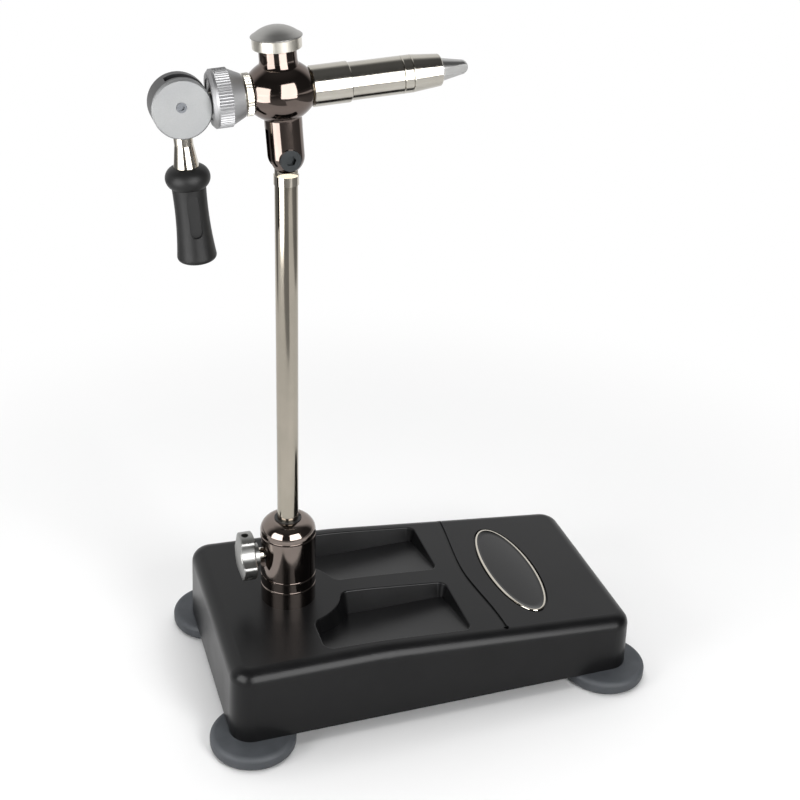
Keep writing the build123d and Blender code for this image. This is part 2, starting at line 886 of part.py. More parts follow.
def drawbar():
    eye_front = -thrust_face - draw_travel - eye_start_gap
    half = eye_thickness / 2
    flat_front = rubbing_gap - thrust_face
    rod = bar(flat_front, draw_head_start, drawbar_diameter / 2)
    flat = block((eye_front, -half, -drawbar_diameter), (flat_front, half, drawbar_diameter))
    rod += bar(eye_front, flat_front, drawbar_diameter / 2) & flat
    rod += bar(draw_head_start, draw_head_front, draw_head_diameter / 2)
    rod -= block(
        (draw_slot_start, -chamber_diameter, -draw_slot_height / 2),
        (draw_head_front + overrun, chamber_diameter, draw_slot_height / 2),
    )
    rod += block((-cam_pin_reach, -half, -eye_half_height), (eye_front, half, eye_half_height))
    rod += cross_bar(-half, half, eye_radius, -cam_pin_reach)
    rod -= cross_bar(-eye_thickness, eye_thickness, cam_pin_diameter / 2 + seat_gap, -cam_pin_reach)
    for side in (-1, 1):
        hole = post(-chamber_diameter, chamber_diameter, jaw_pin_diameter / 2 + seat_gap)
        rod -= Pos(jaw_pin_place, side * jaw_pin_offset, 0) * hole
    return jaw_place * rod


def jaw_pins():
    reach = sqrt((draw_head_diameter / 2) ** 2 - (jaw_pin_offset + jaw_pin_diameter / 2) ** 2)
    pins = []
    for side in (-1, 1):
        pin = Pos(jaw_pin_place, side * jaw_pin_offset, 0) * post(-reach, reach, jaw_pin_diameter / 2)
        pins.append((jaw_place * pin).solid())
    return Compound(children=pins)


def return_spring():
    start = chamber_start + rubbing_gap
    end = draw_head_start - rubbing_gap
    height = end - start - spring_wire_width
    path = Helix(height / spring_turns, height, spring_mean_diameter / 2)
    section = Plane(path @ 0, x_dir=(1, 0, 0), z_dir=path % 0)
    wire = section * Rectangle(spring_wire_height, spring_wire_width)
    spring = sweep(wire, path=path, is_frenet=True)
    return jaw_place * Pos(start + spring_wire_width / 2, 0, 0) * Rot(0, 90, 0) * spring


# Cam and lever, drawn from the cam pin

def cam_round(front, rear, grow):
    return cross_bar(front, rear, cam_radius + grow, cam_offset, -cam_drop)


def cam_pin():
    reach = cam_half_width + cam_pin_proud
    pin = cross_bar(-reach, reach, cam_pin_diameter / 2)
    pin -= cross_bar(-reach - overrun, cam_pin_hollow_depth - reach, cam_pin_hollow_diameter / 2)
    return cam_place * pin


def pin_hole():
    return cross_bar(-cam_radius, cam_radius, cam_pin_diameter / 2 + running_gap)


def cam_face_disc():
    disc = cam_round(-cam_half_width, cam_disc_thickness - cam_half_width, 0)
    front_edges = [e for e in disc.edges() if e.center().Y < cam_disc_bevel - cam_half_width]
    disc = chamfer(front_edges, cam_disc_bevel)
    return cam_place * (disc - pin_hole())


def cam_drum():
    drum = cam_round(cam_disc_thickness - cam_half_width, cam_half_width, 0)
    clear = eye_radius + rubbing_gap
    drum -= block(
        (-clear, -cam_slot_half_width, -clear),
        (cam_radius * 2, cam_slot_half_width, cam_radius * 2),
    )
    return cam_place * (drum - pin_hole())


def lever_stalk():
    stalk = spun(
        (0, 0),
        (stalk_top_diameter / 2, 0),
        (stalk_top_diameter / 2, -cam_radius),
        (stalk_waist_diameter / 2, -stalk_waist_reach),
        (stalk_foot_diameter / 2, -stalk_reach),
        (stalk_core_diameter / 2, -stalk_reach),
        (stalk_core_diameter / 2, -stalk_reach - stalk_core_length),
        (0, -stalk_reach - stalk_core_length),
    )
    return cam_place * (stalk - cam_round(-cam_radius, cam_radius, seat_gap))


def lever_grip():
    rim = (stalk_foot_diameter / 2 + seat_gap, -grip_top)
    neck = (grip_neck_radius, -grip_neck_reach)
    foot_edge = (grip_foot_radius, -grip_end)
    outline = ThreePointArc(rim, (grip_bulge_radius, -grip_bulge_reach), neck)
    outline += ThreePointArc(neck, (grip_waist_radius, -grip_waist_reach), foot_edge)
    outline += Polyline(
        foot_edge,
        (0, -grip_end),
        (0, -stalk_reach),
        (stalk_foot_diameter / 2 + seat_gap, -stalk_reach),
        rim,
    )
    grip = revolve(Plane.XZ * make_face(outline), Axis.Z)
    grip = fillet(near_edges(grip, -grip_end, seat_gap), grip_end_rounding)
    core = stalk_core_diameter / 2 + seat_gap
    grip -= post(-stalk_reach - stalk_core_length, 0, core)
    panel = Plane.XZ.offset(grip_waist_radius - grip_panel_depth)
    oblong = Pos(0, -grip_panel_reach) * Rot(0, 0, 90) * SlotOverall(grip_panel_length, grip_panel_width)
    grip -= extrude(panel * oblong, grip_bulge_radius, dir=(0, -1, 0))
    return cam_place * grip


# Jaws

def jaw(side):
    lug = jaw_lug_diameter / 2
    throat = jaw_throat_diameter / 2
    cone_tan = tan(radians(nose_cone_angle))
    mouth = nose_mouth_diameter / 2 - jaw_nose_gap
    cone_front = mouth - (nose_front - jaw_cone_front) * cone_tan
    cone_start = jaw_cone_front - (cone_front - throat) / cone_tan
    tip = jaw_tip_height / 2
    outline = Polyline(
        (draw_slot_start + rubbing_gap, 0),
        (draw_slot_start + rubbing_gap, lug),
        (jaw_lug_front, lug),
        (jaw_throat_start, throat),
        (cone_start, throat),
        (jaw_cone_front, cone_front),
        (jaw_root_place, jaw_root_diameter / 2),
        (jaw_tip_place - tip, tip),
    )
    outline += ThreePointArc(
        (jaw_tip_place - tip, tip),
        (jaw_tip_place - tip * (1 - sqrt(2) / 2), tip * sqrt(2) / 2),
        (jaw_tip_place, 0),
    )
    outline += Line((jaw_tip_place, 0), (draw_slot_start + rubbing_gap, 0))
    body = revolve(make_face(outline), Axis.X)
    lug_half = draw_slot_height / 2 - running_gap
    for high, low in ((lug * 2, lug_half), (-lug_half, -lug * 2)):
        body -= block(
            (draw_slot_start, -lug * 2, low),
            (draw_head_front + draw_travel, lug * 2, high),
        )
    plan = Polygon(
        (draw_slot_start, 0),
        (draw_slot_start, lug),
        (jaw_root_place, lug),
        (jaw_tip_place, jaw_tip_width / 2),
        (jaw_tip_place, 0),
        align=None,
    )
    half = extrude(Pos(0, 0, -lug * 2) * plan, lug * 4, dir=(0, 0, 1))
    half &= block((0, jaw_split, -lug * 2), (jaw_tip_place * 2, lug * 2, lug * 2))
    body &= half
    pin_room = post(-lug * 2, lug * 2, jaw_pin_diameter / 2 + running_gap)
    body -= Pos(jaw_pin_place, jaw_pin_offset, 0) * pin_room
    if side < 0:
        body = mirror(body, Plane.XZ)
    return jaw_place * body


# Assembly
parts = {
    "base_casting": base_casting(),
    "bottom_plate": bottom_plate(),
    "badge_plate": badge_plate(),
    "turret": turret(),
    "turret_bolt": turret_bolt(),
    "turret_washer": turret_washer(),
    "stem_bush": stem_bush(),
    "thumb_pad": thumb_pad(),
    "thumb_screw": thumb_screw(),
    "thumb_knob": thumb_knob(),
    "stem": stem(),
    "stem_collar": stem_collar(),
    "head_ball": head_ball(),
    "pivot_screw": pivot_screw(),
    "pivot_washers": pivot_washers(),
    "front_bush": spindle_bush(1),
    "rear_bush": spindle_bush(-1),
    "tension_pad": tension_pad(),
    "tension_screw": tension_screw(),
    "tension_knob": tension_knob(),
    "spindle": spindle(),
    "barrel_ring": barrel_ring(),
    "nose_cone": nose_cone(),
    "retaining_ring": retaining_ring(),
    "adjuster_nut": adjuster_nut(),
    "thrust_sleeve": thrust_sleeve(),
    "drawbar": drawbar(),
    "jaw_pins": jaw_pins(),
    "return_spring": return_spring(),
    "cam_pin": cam_pin(),
    "cam_face_disc": cam_face_disc(),
    "cam_drum": cam_drum(),
    "lever_stalk": lever_stalk(),
    "lever_grip": lever_grip(),
    "jaw_near": jaw(-1),
    "jaw_far": jaw(1),
}
for name, place in foot_places().items():
    parts["foot_" + name] = foot(*place)
parts["foot_screws"] = Compound(children=[foot_screw(*p).solid() for p in foot_places().values()])

# The finished part stands with the middle of its footprint box on the origin
whole = Compound(children=[Compound(children=p.solids()) for p in parts.values()]).bounding_box()
origin_x = (whole.min.X + whole.max.X) / 2
origin_y = (whole.min.Y + whole.max.Y) / 2
origin_place = Pos(-origin_x, -origin_y, 0)

for name, shape in parts.items():
    solids = (origin_place * shape).solids()
    export_step(solids[0] if len(solids) == 1 else Compound(children=solids), f"parts/{name}.step")
print("nodes", len(parts), "size", [round(v, 2) for v in whole.size])
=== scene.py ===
import bmesh
import bpy
import json
from math import atan2, pi, radians, sqrt
from mathutils import Matrix, Vector


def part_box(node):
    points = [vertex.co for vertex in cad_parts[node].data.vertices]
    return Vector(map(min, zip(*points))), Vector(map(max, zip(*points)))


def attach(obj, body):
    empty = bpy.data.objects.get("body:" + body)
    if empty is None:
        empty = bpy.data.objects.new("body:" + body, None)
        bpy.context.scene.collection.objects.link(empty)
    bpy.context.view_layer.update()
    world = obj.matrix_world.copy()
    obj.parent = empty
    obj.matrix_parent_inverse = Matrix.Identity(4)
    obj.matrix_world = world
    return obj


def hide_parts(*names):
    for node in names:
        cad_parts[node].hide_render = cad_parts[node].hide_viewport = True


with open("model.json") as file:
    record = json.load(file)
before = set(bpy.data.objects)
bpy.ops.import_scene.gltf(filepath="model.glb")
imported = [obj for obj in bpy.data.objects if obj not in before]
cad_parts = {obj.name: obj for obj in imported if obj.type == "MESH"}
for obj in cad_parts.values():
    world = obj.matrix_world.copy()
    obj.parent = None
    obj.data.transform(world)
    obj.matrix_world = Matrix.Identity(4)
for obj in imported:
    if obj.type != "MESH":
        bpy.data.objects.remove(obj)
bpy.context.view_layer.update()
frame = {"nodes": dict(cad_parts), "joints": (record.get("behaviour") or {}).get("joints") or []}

nodes = frame["nodes"]
mm = 0.001
print("frame loaded:", len(nodes), "nodes")


# Small helpers: colours, nodes and places at the joints

def srgb(code):
    shares = [int(code[i:i + 2], 16) / 255 for i in (1, 3, 5)]
    return [c / 12.92 if c <= 0.04045 else ((c + 0.055) / 1.055) ** 2.4 for c in shares] + [1]


def fillRamp(points, stops):
    # A stop is a place from 0 to 1 with a hex colour or a grey level
    while len(points) < len(stops):
        points.new(0.5)
    for point, (where, level) in zip(points, stops):
        point.position = where
        point.color = srgb(level) if isinstance(level, str) else [level, level, level, 1]


def addNode(tree, kind, settings=None, links=None):
    node = tree.nodes.new(kind)
    for key, value in (settings or {}).items():
        if key == "stops":
            fillRamp(node.color_ramp.elements, value)
        elif isinstance(key, str) and key[0].islower():  # lower case is a setting, the rest are sockets
            setattr(node, key, value)
        else:
            node.inputs[key].default_value = value
    for key, source in (links or {}).items():
        tree.links.new(source, node.inputs[key])
    return node


def newMaterial(name, settings):
    material = bpy.data.materials.new(name)
    material.use_nodes = True
    tree = material.node_tree
    tree.nodes.clear()
    shader = addNode(tree, "ShaderNodeBsdfPrincipled", settings)
    addNode(tree, "ShaderNodeOutputMaterial", links={"Surface": shader.outputs[0]})
    place = addNode(tree, "ShaderNodeTexCoord").outputs["Object"]
    return material, tree, shader, place


def dress(tree, shader, colour, rough, bump):
    for socket, node in (("Base Color", colour), ("Roughness", rough), ("Normal", bump)):
        tree.links.new(node.outputs[0], shader.inputs[socket])


def findJoint(name):
    return next(j for j in frame["joints"] if j["name"] == name)


def jointPlace(name):
    # Matrix whose origin is the joint's and whose Z runs along its axis
    joint = findJoint(name)
    turn = Vector((0, 0, 1)).rotation_difference(Vector(joint["axis"])).to_matrix().to_4x4()
    return Matrix.Translation(joint["pos_m"]) @ turn


jawAxis = Vector(findJoint("jaw_rotation")["axis"])
headLean = atan2(jawAxis.z, jawAxis.x)


# Materials

ironCoat = {"dark": "#111112", "light": "#151516", "rough": (0.28, 0.33), "cloud": 25 * mm,
            "peel": 1.1 * mm, "peelHeight": 0.05 * mm}


def paintedIron():
    # Cast iron under satin powder coat: deep black, a soft mirror at low angles, a faint orange peel
    coat = ironCoat
    low, high = coat["rough"]
    material, tree, shader, place = newMaterial("satin_powder_coat", {"IOR": 1.5, "Specular IOR Level": 0.2})
    cloud = addNode(tree, "ShaderNodeTexNoise", {"Scale": 1 / coat["cloud"], "Detail": 3.0},
                    {"Vector": place})
    peel = addNode(tree, "ShaderNodeTexNoise", {"Scale": 1 / coat["peel"], "Detail": 1.0},
                   {"Vector": place})
    colour = addNode(tree, "ShaderNodeValToRGB", {"stops": ((0.35, coat["dark"]), (0.65, coat["light"]))},
                     {0: cloud.outputs[0]})
    rough = addNode(tree, "ShaderNodeValToRGB", {"stops": ((0.3, low), (0.7, high))}, {0: cloud.outputs[0]})
    bump = addNode(tree, "ShaderNodeBump", {"Strength": 0.05, "Distance": coat["peelHeight"]},
                   {"Height": peel.outputs[0]})
    dress(tree, shader, colour, rough, bump)
    return material


rubberSkin = {"cloud": 9 * mm, "grainHeight": 0.06 * mm, "roughSpread": 0.06}


def rubberOrPlastic(name, dark, light, roughness, grainSize, shine=0.35):
    # Rubber and plastic: a fine grain that breaks the highlight
    skin = rubberSkin
    low, high = roughness - skin["roughSpread"], roughness + skin["roughSpread"]
    material, tree, shader, place = newMaterial(name, {"IOR": 1.5, "Specular IOR Level": shine})
    cloud = addNode(tree, "ShaderNodeTexNoise", {"Scale": 1 / skin["cloud"], "Detail": 4.0},
                    {"Vector": place})
    grain = addNode(tree, "ShaderNodeTexNoise", {"Scale": 1 / grainSize, "Detail": 2.0}, {"Vector": place})
    colour = addNode(tree, "ShaderNodeValToRGB", {"stops": ((0.3, dark), (0.7, light))},
                     {0: cloud.outputs[0]})
    rough = addNode(tree, "ShaderNodeValToRGB", {"stops": ((0.2, low), (0.8, high))}, {0: grain.outputs[0]})
    bump = addNode(tree, "ShaderNodeBump", {"Strength": 0.15, "Distance": skin["grainHeight"]},
                   {"Height": grain.outputs[0]})
    dress(tree, shader, colour, rough, bump)
    return material


metalSkin = {"cloud": 14 * mm, "lineHeight": 0.004 * mm, "blastHeight": 0.02 * mm}


def finishedMetal(name, dark, light, roughLow, roughHigh, lines, lean=0.0, height=metalSkin["lineHeight"]):
    # Metal with the fine lines of its last tool; lines are the pattern's sizes along X, Y and Z
    material, tree, shader, place = newMaterial(name, {"Metallic": 1.0})
    spread = addNode(tree, "ShaderNodeMapping", {"Rotation": (0, lean, 0), "Scale": [1 / s for s in lines]},
                     {"Vector": place})
    tool = addNode(tree, "ShaderNodeTexNoise", {"Scale": 1.0, "Detail": 3.0}, {"Vector": spread.outputs[0]})
    cloud = addNode(tree, "ShaderNodeTexNoise", {"Scale": 1 / metalSkin["cloud"], "Detail": 2.0},
                    {"Vector": place})
    colour = addNode(tree, "ShaderNodeValToRGB", {"stops": ((0.3, dark), (0.7, light))},
                     {0: cloud.outputs[0]})
    rough = addNode(tree, "ShaderNodeValToRGB", {"stops": ((0.25, roughLow), (0.75, roughHigh))},
                    {0: tool.outputs[0]})
    bump = addNode(tree, "ShaderNodeBump", {"Strength": 0.05, "Distance": height},
                   {"Height": tool.outputs[0]})
    dress(tree, shader, colour, rough, bump)
    return material


# Sizes of the tool's marks along X, Y and Z
alongStem = (0.3 * mm, 0.3 * mm, 60 * mm)
roundBarrel = (0.25 * mm, 40 * mm, 40 * mm)
evenGrain = (0.35 * mm, 0.35 * mm, 0.35 * mm)
softCloud = (8 * mm, 8 * mm, 8 * mm)
blasted = metalSkin["blastHeight"]

# A metal has its name, two shades, roughness from and to, and its tool's marks
finishes = {
    # Plated and polished black nickel: a dark warm mirror
    "black_nickel": finishedMetal("black_nickel_plate", "#685e59", "#70655f", 0.05, 0.09, softCloud),
    # The same black nickel plate, given a paler brown grey on the turret: painted reflection that stands in
    # for the brighter surroundings it mirrors
    "painted_paler_nickel": finishedMetal("painted_paler_nickel_plate", "#7b716b", "#837973", 0.07, 0.12, softCloud),
    # Nickel plate drawn along the stem: a grey warm mirror with long bands
    "stem_nickel": finishedMetal("drawn_nickel_plate", "#a09a8e", "#a8a195", 0.09, 0.15, alongStem),
    # The same plate, polished: brighter, cleaner bands
    "bright_nickel": finishedMetal("polished_nickel_plate", "#c3bdb1", "#cbc5ba", 0.06, 0.11, softCloud),
    # Satin nickel plate on the fluted ring and the cap's band: a soft cream silver
    "satin_nickel": finishedMetal("satin_nickel_plate", "#d2cec4", "#dad6cc", 0.29, 0.35, softCloud),
    # Nickel plate turned round the barrel: bands along it, fine rings across
    "barrel_nickel": finishedMetal("turned_nickel_plate", "#b3afa6", "#bcb8af", 0.10, 0.17, roundBarrel,
                                   -headLean),
    # Clear anodised aluminium, bead blasted: an even pale grey
    "pale_aluminium": finishedMetal("blasted_aluminium", "#868788", "#8d8e8e", 0.60, 0.68, evenGrain,
                                    height=blasted),
    # Grey anodised aluminium, turned: a soft grey with a broad highlight
    "grey_aluminium": finishedMetal("grey_anodised_aluminium", "#949495", "#9c9c9d", 0.48, 0.54, softCloud),
    # Satin turned aluminium of the brake cap: pale grey edges, a darker front
    "cap_aluminium": finishedMetal("satin_turned_aluminium", "#a5a4a1", "#aeadaa", 0.38, 0.44, softCloud),
    # Die cast zinc, tumbled and plated: silver with a soft skin
    "cast_zinc": finishedMetal("tumbled_cast_zinc", "#868684", "#90908e", 0.30, 0.38, evenGrain,
                               height=blasted),
    # Ground tool steel: pale grey and satin
    "tool_steel": finishedMetal("ground_tool_steel", "#b0b0af", "#b8b8b6", 0.28, 0.34, softCloud),
    # Blackened steel: a soft dark grey, faintly blue
    "black_steel": finishedMetal("blackened_steel", "#2e3031", "#383a3b", 0.22, 0.30, softCloud),
    # Oiled dowel steel: a small dark mirror
    "dowel_steel": finishedMetal("oiled_dowel_steel", "#4c4e51", "#55575a", 0.24, 0.32, softCloud),
    # Zinc plated sheet: cool grey
    "zinc_sheet": finishedMetal("zinc_plated_sheet", "#a8adb2", "#b6babd", 0.28, 0.42, softCloud),
    # Turned brass: a warm yellow mirror
    "brass": finishedMetal("turned_brass", "#c9a45a", "#d2b06a", 0.15, 0.25, roundBarrel),
    "paint": paintedIron(),
    # Slate grey rubber of the feet: matt
    "foot_rubber": rubberOrPlastic("slate_foot_rubber", "#404347", "#494c50", 0.62, 0.5 * mm),
    # Black rubber of the grip: satin, with a broad weak highlight
    "grip_rubber": rubberOrPlastic("black_grip_rubber", "#191919", "#1f1f1f", 0.45, 0.4 * mm, 0.22),
    # Machined black acetal: black with a low sheen
    "acetal": rubberOrPlastic("machined_black_acetal", "#1c1c1d", "#232324", 0.40, 0.3 * mm),
    # Poured black resin of the badge: a dark glassy dome
    "resin": rubberOrPlastic("black_badge_resin", "#101011", "#141415", 0.14, 3.0 * mm),
}

finishOf = {
    "paint": ["base_casting"],
    "zinc_sheet": ["bottom_plate", "turret_washer"],
    "resin": ["badge_plate"],
    "foot_rubber": ["foot_front_left", "foot_front_right", "foot_rear_left", "foot_rear_right"],
    "grip_rubber": ["lever_grip"],
    "black_steel": ["foot_screws", "turret_bolt", "pivot_screw", "return_spring", "thrust_sleeve",
                    "jaw_pins"],
    "dowel_steel": ["cam_pin"],
    "black_nickel": ["head_ball"],
    # Turret: black nickel painted paler, a painted reflection
    "painted_paler_nickel": ["turret"],
    "acetal": ["stem_bush", "pivot_washers", "tension_pad", "cam_drum"],
    "stem_nickel": ["stem", "tension_screw"],
    "bright_nickel": ["stem_collar", "lever_stalk", "thumb_screw", "tension_knob"],
    "barrel_nickel": ["spindle", "barrel_ring", "nose_cone", "drawbar"],
    "brass": ["thumb_pad", "front_bush", "rear_bush"],
    "cast_zinc": ["thumb_knob"],
    "pale_aluminium": ["cam_face_disc"],
    "satin_nickel": ["retaining_ring"],
    "grey_aluminium": ["adjuster_nut"],
    "tool_steel": ["jaw_near", "jaw_far"],
}
for finish, members in finishOf.items():
    for member in members:
        nodes[member].data.materials.clear()
        nodes[member].data.materials.append(finishes[finish])
print("finishes given:", len(finishes))


# New pieces, sizes in mm

mergeGap = 0.001 * mm
cornerAngle = radians(35)


def spinProfile(profile, sizes, closed=False):
    # Turns a profile of radius and height pairs about Z and rounds the corners that are left
    bm = bmesh.new()
    points = [bm.verts.new((r * mm, 0, z * mm)) for r, z in profile]
    line = [bm.edges.new(pair) for pair in zip(points, points[1:])]
    if closed:
        line.append(bm.edges.new((points[-1], points[0])))
    bmesh.ops.spin(bm, geom=points + line, cent=(0, 0, 0), axis=(0, 0, 1), angle=2 * pi,
                   steps=sizes["turnSteps"], use_merge=True)
    bmesh.ops.remove_doubles(bm, verts=bm.verts, dist=mergeGap)
    bmesh.ops.recalc_face_normals(bm, faces=bm.faces)
    corners = [e for e in bm.edges if e.is_manifold and e.calc_face_angle() > cornerAngle]
    bmesh.ops.bevel(bm, geom=corners, offset=sizes["edge"] * mm, segments=sizes["edgeSteps"], profile=0.5,
                    affect="EDGES", material=-1)
    return bm


def addObject(bm, name, materials):
    mesh = bpy.data.meshes.new(name)
    bm.to_mesh(mesh)
    bm.free()
    for material in materials:
        mesh.materials.append(material)
    obj = bpy.data.objects.new(name, mesh)
    bpy.context.scene.collection.objects.link(obj)
    return obj


def finishPiece(bm, name, body, materials):
    for face in bm.faces:
        face.smooth = True
    piece = addObject(bm, name, materials)
    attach(piece, body)
    return piece


# Brake cap, measured up from the jaw axis
brakeCap = {"low": 17.4, "band": 4.5, "height": 9.0, "radius": 10.55, "lip": 0.5, "bore": 3.02, "grip": 5.0,
            "domeSteps": 14, "turnSteps": 128, "edge": 0.35, "edgeSteps": 3}


def makeBrakeCap():
    cap = brakeCap
    low, rim, top = cap["low"], cap["low"] + cap["band"], cap["low"] + cap["height"]
    radius, bandRadius, dome = cap["radius"], cap["radius"] - cap["lip"], top - rim
    ballRadius = (radius ** 2 + dome ** 2) / (2 * dome)
    profile = [(0, low + cap["grip"]), (cap["bore"], low + cap["grip"]), (cap["bore"], low),
               (bandRadius, low), (bandRadius, rim), (radius, rim), (radius, rim + cap["lip"])]
    for step in range(2, cap["domeSteps"] + 1):  # the crown is a cap of one large ball
        across = radius * (1 - step / cap["domeSteps"])
        profile.append((across, top - ballRadius + sqrt(ballRadius ** 2 - across ** 2)))
    bm = spinProfile(profile, cap)
    for face in bm.faces:
        face.material_index = 0 if face.calc_center_median().z > rim * mm else 1
    bm.transform(jointPlace("tension_turn"))
    piece = finishPiece(bm, "brake_cap", "brake_knob",
                        [finishes["cap_aluminium"], finishes["satin_nickel"]])
    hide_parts("tension_knob")


# Fuller skin of the ball, measured along the jaw axis: one large arc swells between the two faces
ballSkin = {"rear": -12.35, "front": 11.95, "faceRadius": 7.9, "crown": 13.05, "inside": 6.6, "arcSteps": 40,
            "turnSteps": 160, "edge": 0.45, "edgeSteps": 4}


def makeBallSkin():
    skin = ballSkin
    half, rise = (skin["front"] - skin["rear"]) / 2, skin["crown"] - skin["faceRadius"]
    middle = (skin["front"] + skin["rear"]) / 2
    arcRadius = (half ** 2 + rise ** 2) / (2 * rise)
    profile = [(skin["inside"], skin["rear"])]
    for step in range(skin["arcSteps"] + 1):
        along = skin["rear"] + 2 * half * step / skin["arcSteps"]
        profile.append((skin["crown"] - arcRadius + sqrt(arcRadius ** 2 - (along - middle) ** 2), along))
    profile.append((skin["inside"], skin["front"]))
    bm = spinProfile(profile, skin, closed=True)
    bm.transform(jointPlace("jaw_rotation"))
    finishPiece(bm, "ball_skin", "head", [finishes["black_nickel"]])


# Bare oval badge: a bright border round a domed black field, on the slope of the base's top
badge = {"halfWidth": 12.8, "halfLength": 37.05, "halfThick": 0.75, "border": 0.9, "step": 0.25,
         "crown": 0.75, "segments": 160, "domeSteps": 10, "slope": radians(4.076)}


def makeBadge():
    plate = badge
    low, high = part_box("badge_plate")
    middle = (Vector(low) + Vector(high)) / 2
    bm = bmesh.new()
    bmesh.ops.create_circle(bm, cap_ends=True, segments=plate["segments"], radius=1.0)
    bmesh.ops.scale(bm, vec=(plate["halfWidth"] * mm, plate["halfLength"] * mm, 1), verts=bm.verts)
    bmesh.ops.translate(bm, vec=(0, 0, -plate["halfThick"] * mm), verts=bm.verts)
    bottom = bm.faces[:]
    raised = bmesh.ops.extrude_face_region(bm, geom=bottom)["geom"]
    field = next(g for g in raised if isinstance(g, bmesh.types.BMFace))
    bmesh.ops.translate(bm, vec=(0, 0, 2 * plate["halfThick"] * mm), verts=field.verts)

    def ringIn(across, along, rise, slot):
        # Next ring of the field: same outline, drawn in and lifted
        ring = bmesh.ops.inset_individual(bm, faces=[field], thickness=0.0)["faces"]
        bmesh.ops.scale(bm, vec=(across, along, 1), verts=field.verts)
        bmesh.ops.translate(bm, vec=(0, 0, rise * mm), verts=field.verts)
        for face in ring:
            face.material_index = slot

    width, length = plate["halfWidth"] - plate["border"], plate["halfLength"] - plate["border"]
    ringIn(width / plate["halfWidth"], length / plate["halfLength"], 0, 0)
    ringIn(1 - plate["step"] / width, 1 - plate["step"] / length, -plate["step"], 1)
    for step in range(1, plate["domeSteps"]):
        before, share = 1 - (step - 1) / plate["domeSteps"], 1 - step / plate["domeSteps"]
        ringIn(share / before, share / before, plate["crown"] * (before ** 2 - share ** 2), 1)
    field.material_index = 1
    bmesh.ops.recalc_face_normals(bm, faces=bm.faces)
    bm.transform(Matrix.Translation(middle) @ Matrix.Rotation(plate["slope"], 4, "Y"))
    piece = finishPiece(bm, "badge_field", "base", [finishes["bright_nickel"], finishes["resin"]])
    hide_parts("badge_plate")


makeBrakeCap()
makeBallSkin()
makeBadge()
print("new pieces made")


# Floor, cards, world, lamps and camera, in metres

paper = {"reach": 6.0, "sides": 96, "colour": "#f4f4f4", "middle": (0.0, 0.02), "nearWhite": 0.18,
         "farWhite": 0.42}


def paleFloor():
    # Matt white paper: shows the shadow near the object and goes to plain white further out
    material, tree, shader, place = newMaterial("white_paper", {
        "Base Color": srgb(paper["colour"]), "Roughness": 0.9})
    x, y = paper["middle"]
    centred = addNode(tree, "ShaderNodeMapping", {"Location": (-x, -y, 0)}, {"Vector": place})
    away = addNode(tree, "ShaderNodeVectorMath", {"operation": "LENGTH"}, {0: centred.outputs[0]})
    fade = addNode(tree, "ShaderNodeMapRange", {
        "interpolation_type": "SMOOTHSTEP", 1: paper["nearWhite"], 2: paper["farWhite"],
    }, {0: away.outputs["Value"]})
    path = addNode(tree, "ShaderNodeLightPath")
    seen = addNode(tree, "ShaderNodeMath", {"operation": "MAXIMUM"}, {
        0: path.outputs["Is Camera Ray"], 1: path.outputs["Is Glossy Ray"]})
    seen = addNode(tree, "ShaderNodeMath", {"operation": "MAXIMUM"}, {
        0: seen.outputs[0], 1: path.outputs["Is Transmission Ray"]})
    share = addNode(tree, "ShaderNodeMath", {"operation": "MULTIPLY"}, {
        0: seen.outputs[0], 1: fade.outputs[0]})
    glow = addNode(tree, "ShaderNodeEmission", {"Color": (1, 1, 1, 1), "Strength": 1.0})
    both = addNode(tree, "ShaderNodeMixShader", links={
        0: share.outputs[0], 1: shader.outputs[0], 2: glow.outputs[0]})
    output = next(n for n in tree.nodes if n.type == "OUTPUT_MATERIAL")
    tree.links.new(both.outputs[0], output.inputs[0])
    bm = bmesh.new()
    bmesh.ops.create_circle(bm, cap_ends=True, segments=paper["sides"], radius=paper["reach"])
    addObject(bm, "floor", [material])


# Grey cards on the table round the object, seen only by mirrors: painted reflection that darkens the white
# floor where the metal mirrors it
reflectionCardLook = {"colour": "#8c8c8c", "lift": 0.004}
cards = {
    "front_card": {"left": -2.0, "right": 0.03, "near": -5.6, "far": -0.35},
    "far_card": {"left": 0.03, "right": 2.0, "near": -5.6, "far": -0.68},
    "right_card": {"left": 0.42, "right": 2.0, "near": -0.68, "far": 0.20},
    "left_card": {"left": -1.6, "right": -0.46, "near": 0.16, "far": 0.9},
}


def layReflectionCards():
    # Matt grey card, a painted reflection: dims the white floor in the mirrors
    material = newMaterial("painted_reflection_card", {
        "Base Color": srgb(reflectionCardLook["colour"]), "Roughness": 1.0, "Specular IOR Level": 0.0})[0]
    corners = [("left", "near"), ("right", "near"), ("right", "far"), ("left", "far")]
    for name, card in cards.items():
        bm = bmesh.new()
        bm.faces.new([bm.verts.new((card[x], card[y], reflectionCardLook["lift"])) for x, y in corners])
        sheet = addObject(bm, name, [material])
        sheet.visible_camera = False
        sheet.visible_diffuse = False
        sheet.visible_shadow = False


# Light of the room by height, from the horizon at 0 to straight up at 1; the two mix over the span of Y
room = {
    "behind": ((0.0, 1.0), (0.78, 1.0), (0.85, 0.65), (0.92, 0.28), (0.97, 0.12)),
    "ahead": ((0.0, 0.12), (0.1, 0.06), (0.7, 0.06), (0.97, 0.12)),
    "span": (0.05, 0.5),
}


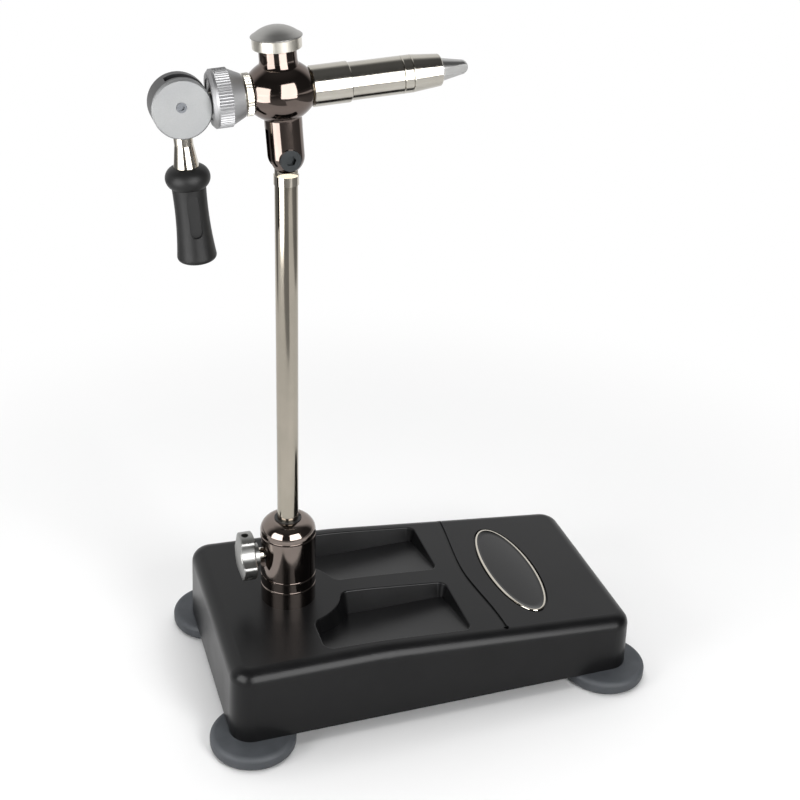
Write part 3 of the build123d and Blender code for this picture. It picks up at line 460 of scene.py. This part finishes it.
def studioWorld():
    world = bpy.data.worlds.new("studio")
    bpy.context.scene.world = world
    world.use_nodes = True
    tree = world.node_tree
    tree.nodes.clear()
    sky = addNode(tree, "ShaderNodeTexCoord").outputs["Generated"]
    way = addNode(tree, "ShaderNodeSeparateXYZ", links={0: sky})
    # A tall white backdrop behind the object, a dark room in front and above
    behind = addNode(tree, "ShaderNodeValToRGB", {"stops": room["behind"]}, {0: way.outputs["Z"]})
    ahead = addNode(tree, "ShaderNodeValToRGB", {"stops": room["ahead"]}, {0: way.outputs["Z"]})
    start, end = room["span"]
    side = addNode(tree, "ShaderNodeMapRange", {"interpolation_type": "SMOOTHSTEP", 1: start, 2: end},
                   {0: way.outputs["Y"]})
    level = addNode(tree, "ShaderNodeMix", {"data_type": "RGBA"}, {  # 6 and 7 are the two colours
        0: side.outputs[0], 6: ahead.outputs[0], 7: behind.outputs[0]})
    # The camera sees plain white all round, the metal sees the room
    path = addNode(tree, "ShaderNodeLightPath")
    seen = addNode(tree, "ShaderNodeMath", {"operation": "MAXIMUM"}, {
        0: path.outputs["Is Camera Ray"], 1: path.outputs["Is Transmission Ray"]})
    shown = addNode(tree, "ShaderNodeMix", {"data_type": "RGBA", 7: (1, 1, 1, 1)}, {
        0: seen.outputs[0], 6: level.outputs[2]})
    light = addNode(tree, "ShaderNodeBackground", {"Strength": 1.0}, {"Color": shown.outputs[2]})
    addNode(tree, "ShaderNodeOutputWorld", links={0: light.outputs[0]})


# Size is wide and high; windows show in metal, fills light what is matt
lamps = {
    "left_window": {"place": (-0.415, -0.223, 0.255), "aim": (-0.06, 0, 0.255), "size": (0.34, 0.39),
                    "watts": 2.9, "matt": False, "mirror": True},
    "front_window": {"place": (0.18, -0.76, 0.46), "aim": (-0.06, 0, 0.46), "size": (0.66, 0.78),
                     "watts": 12.6, "matt": False, "mirror": True},
    "left_fill": {"place": (-0.78, -0.25, 0.34), "aim": (-0.02, 0, 0.15), "size": (0.34, 0.46),
                  "watts": 3.0, "matt": True, "mirror": False},
    "front_fill": {"place": (0.34, -0.92, 0.66), "aim": (0.0, 0, 0.12), "size": (0.34, 0.44),
                   "watts": 5.5, "matt": True, "mirror": False},
    "ceiling_softbox": {"place": (0.05, 0.15, 1.35), "aim": (0.05, 0, 0), "size": (1.3, 1.1),
                        "watts": 10.4, "matt": True, "mirror": False},
}


def addLamp(name, lamp):
    data = bpy.data.lights.new(name, "AREA")
    data.shape = "RECTANGLE"
    data.size, data.size_y = lamp["size"]
    data.energy = lamp["watts"]
    obj = bpy.data.objects.new(name, data)
    bpy.context.scene.collection.objects.link(obj)
    obj.location = lamp["place"]
    obj.rotation_euler = (Vector(lamp["aim"]) - Vector(lamp["place"])).to_track_quat("-Z", "Y").to_euler()
    obj.visible_camera = False
    obj.visible_diffuse = lamp["matt"]
    obj.visible_glossy = lamp["mirror"]


# Place is measured from the stem's axis on the table, angles in degrees, lens and sensor in mm
cameraRig = {"place": (-0.12874, -0.54070, 0.44771), "turn": 18.668, "pitch": 27.891, "roll": 2.184,
             "lens": 62.191, "sensor": 36, "nearest": 0.01}


def addCamera():
    data = bpy.data.cameras.new("camera")
    data.lens = cameraRig["lens"]
    data.sensor_width = cameraRig["sensor"]
    data.clip_start = cameraRig["nearest"]
    obj = bpy.data.objects.new("camera", data)
    bpy.context.scene.collection.objects.link(obj)
    turn = Matrix.Rotation(radians(-cameraRig["turn"]), 4, "Z")
    pitch = Matrix.Rotation(radians(90 - cameraRig["pitch"]), 4, "X")
    roll = Matrix.Rotation(radians(cameraRig["roll"]), 4, "Z")
    stem = jointPlace("stem_swivel").translation
    place = Vector((stem.x, stem.y, 0)) + Vector(cameraRig["place"])
    obj.matrix_world = Matrix.Translation(place) @ turn @ pitch @ roll
    bpy.context.scene.camera = obj


paleFloor()
# Grey cards seen only in the metal: painted reflection
layReflectionCards()
studioWorld()
for name, lamp in lamps.items():
    addLamp(name, lamp)
addCamera()
bpy.context.scene.view_settings.view_transform = "Standard"
print("studio ready")
